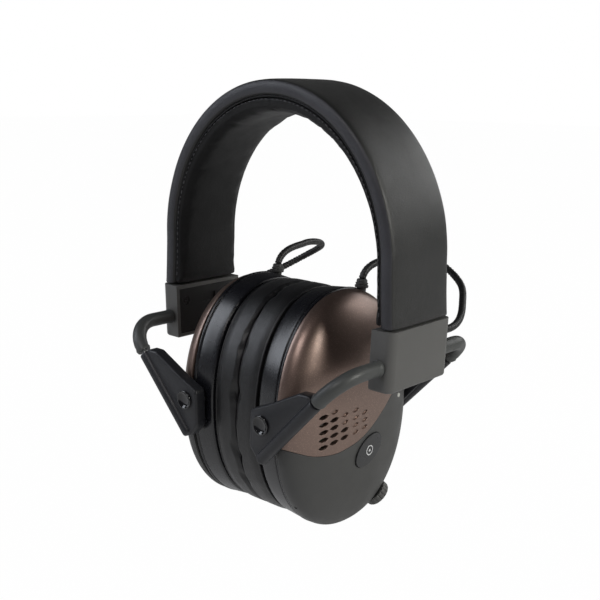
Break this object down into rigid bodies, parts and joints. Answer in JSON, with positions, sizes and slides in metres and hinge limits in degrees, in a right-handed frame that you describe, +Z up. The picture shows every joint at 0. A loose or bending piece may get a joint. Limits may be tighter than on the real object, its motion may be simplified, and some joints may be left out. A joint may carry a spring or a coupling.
{
  "type": "earmuff hearing protector",
  "caption": "Folding over-head electronic ear defender: padded arch band, sliding wire yokes, oval cups with foam cushions, sound grille, volume knob and mode button.",
  "frame": {"origin": "midway between the two cups: x = 0 where the cushions meet, y = 0 at the middle of the headband's width, z = 0 at the height of the cups' centres", "axes": "+Z up towards the top of the headband, +X towards the right cup (the one with the volume knob), -Y towards the front"},
  "size_m": [0.1434, 0.1172, 0.2013],
  "materials": {
    "band_leather": "satin",
    "band_pad_leather": "satin",
    "spring_steel": "satin",
    "cable_rubber": "matte",
    "bracket_plastic": "satin",
    "screw_steel": "satin",
    "wire_steel": "satin",
    "sleeve_plastic": "satin",
    "arm_plastic": "satin",
    "pin_plastic": "gloss",
    "ring_gloss": "gloss",
    "panel_bronze": "metallic satin",
    "cover_plastic": "matte",
    "cushion_leather": "satin",
    "inner_plastic": "matte",
    "liner_foam": "open-cell foam",
    "speaker_body": "satin",
    "mic_body": "satin",
    "board_green": "satin",
    "knob_rubber": "matte",
    "button_gloss": "gloss",
    "light_lens": "clear",
    "battery_wrap": "printed film",
    "contact_metal": "satin"
  },
  "bodies": {
    "headband": {"band_cover": "band_leather", "band_pad": "band_pad_leather", "band_spring": "spring_steel", "band_cable": "cable_rubber"},
    "leg_right": {"bracket_shell_right": "bracket_plastic", "bracket_cover_right": "bracket_plastic", "bracket_screws_right": "screw_steel", "link_cable_right": "cable_rubber"},
    "yoke_right": {"yoke_wire_right": "wire_steel", "elbow_sleeves_right": "sleeve_plastic"},
    "arms_right": {"arm_front_right": "arm_plastic", "arm_rear_right": "arm_plastic", "pivot_pins_right": "pin_plastic"},
    "cup_right": {"cup_ring_right": "ring_gloss", "shell_panel_right": "panel_bronze", "lower_cover_right": "cover_plastic", "ear_cushion_right": "cushion_leather", "cushion_plate_right": "inner_plastic", "speaker_baffle_right": "inner_plastic", "foam_liner_right": "liner_foam", "speaker_right": "speaker_body", "microphone_right": "mic_body", "cable_grommet_right": "cable_rubber", "case_screws_right": "screw_steel", "circuit_board": "board_green", "volume_control": "inner_plastic", "button_switch": "inner_plastic", "status_light": "light_lens"},
    "leg_left": {"bracket_shell_left": "bracket_plastic", "bracket_cover_left": "bracket_plastic", "bracket_screws_left": "screw_steel", "link_cable_left": "cable_rubber"},
    "yoke_left": {"yoke_wire_left": "wire_steel", "elbow_sleeves_left": "sleeve_plastic"},
    "arms_left": {"arm_front_left": "arm_plastic", "arm_rear_left": "arm_plastic", "pivot_pins_left": "pin_plastic"},
    "cup_left": {"cup_ring_left": "ring_gloss", "shell_panel_left": "panel_bronze", "lower_cover_left": "cover_plastic", "ear_cushion_left": "cushion_leather", "cushion_plate_left": "inner_plastic", "speaker_baffle_left": "inner_plastic", "foam_liner_left": "liner_foam", "speaker_left": "speaker_body", "microphone_left": "mic_body", "cable_grommet_left": "cable_rubber", "case_screws_left": "screw_steel", "batteries": "battery_wrap", "battery_tray": "inner_plastic", "battery_contacts": "contact_metal", "door_hinge_pin": "wire_steel", "audio_socket": "inner_plastic"},
    "volume_knob": {"volume_knob": "knob_rubber"},
    "mode_button": {"mode_button": "button_gloss"},
    "battery_door": {"battery_door": "cover_plastic"}
  },
  "joints": [
    {"name": "spread_right", "type": "hinge", "parent": "headband", "child": "leg_right", "pos_m": [0.044, 0, 0.118], "axis": [0, -1, 0], "range_deg": [0, 16], "stiffness_Nm_per_rad": 0.9, "deforming": ["band_cover", "band_pad", "band_spring", "band_cable"]},
    {"name": "fold_right", "type": "hinge", "parent": "leg_right", "child": "yoke_right", "pos_m": [0.065, 0, 0.0306], "axis": [0, -1, 0], "range_deg": [-69, 25], "deforming": ["link_cable_right", "ear_cushion_right"]},
    {"name": "adjust_right", "type": "slide", "parent": "yoke_right", "child": "arms_right", "axis": [-0.6899, 0, -0.7239], "range_m": [0, 0.015]},
    {"name": "pivot_right", "type": "hinge", "parent": "arms_right", "child": "cup_right", "pos_m": [0.02435, 0, 0.00277], "axis": [0, -1, 0], "range_deg": [-26, 70]},
    {"name": "spread_left", "type": "hinge", "parent": "headband", "child": "leg_left", "pos_m": [-0.044, 0, 0.118], "axis": [0, 1, 0], "range_deg": [0, 16], "stiffness_Nm_per_rad": 0.9},
    {"name": "fold_left", "type": "hinge", "parent": "leg_left", "child": "yoke_left", "pos_m": [-0.065, 0, 0.0306], "axis": [0, 1, 0], "range_deg": [-69, 25], "deforming": ["link_cable_left", "ear_cushion_left"]},
    {"name": "adjust_left", "type": "slide", "parent": "yoke_left", "child": "arms_left", "axis": [0.6899, 0, -0.7239], "range_m": [0, 0.015]},
    {"name": "pivot_left", "type": "hinge", "parent": "arms_left", "child": "cup_left", "pos_m": [-0.02435, 0, 0.00277], "axis": [0, 1, 0], "range_deg": [-26, 70]},
    {"name": "volume_turn", "type": "hinge", "parent": "cup_right", "child": "volume_knob", "pos_m": [0.0315, 0.0228, -0.0473], "axis": [0.4082, 0.5772, -0.7073], "range_deg": [0, 300]},
    {"name": "button_press", "type": "slide", "parent": "cup_right", "child": "mode_button", "axis": [-1, 0, 0], "range_m": [0, 0.0008]},
    {"name": "door_open", "type": "hinge", "parent": "cup_left", "child": "battery_door", "pos_m": [-0.04135, 0, -0.038], "axis": [0, -1, 0], "range_deg": [0, 100]}
  ],
  "couplings": [
    {"joint": "pivot_right", "follows": "fold_right", "ratio": -1},
    {"joint": "pivot_left", "follows": "fold_left", "ratio": -1}
  ]
}
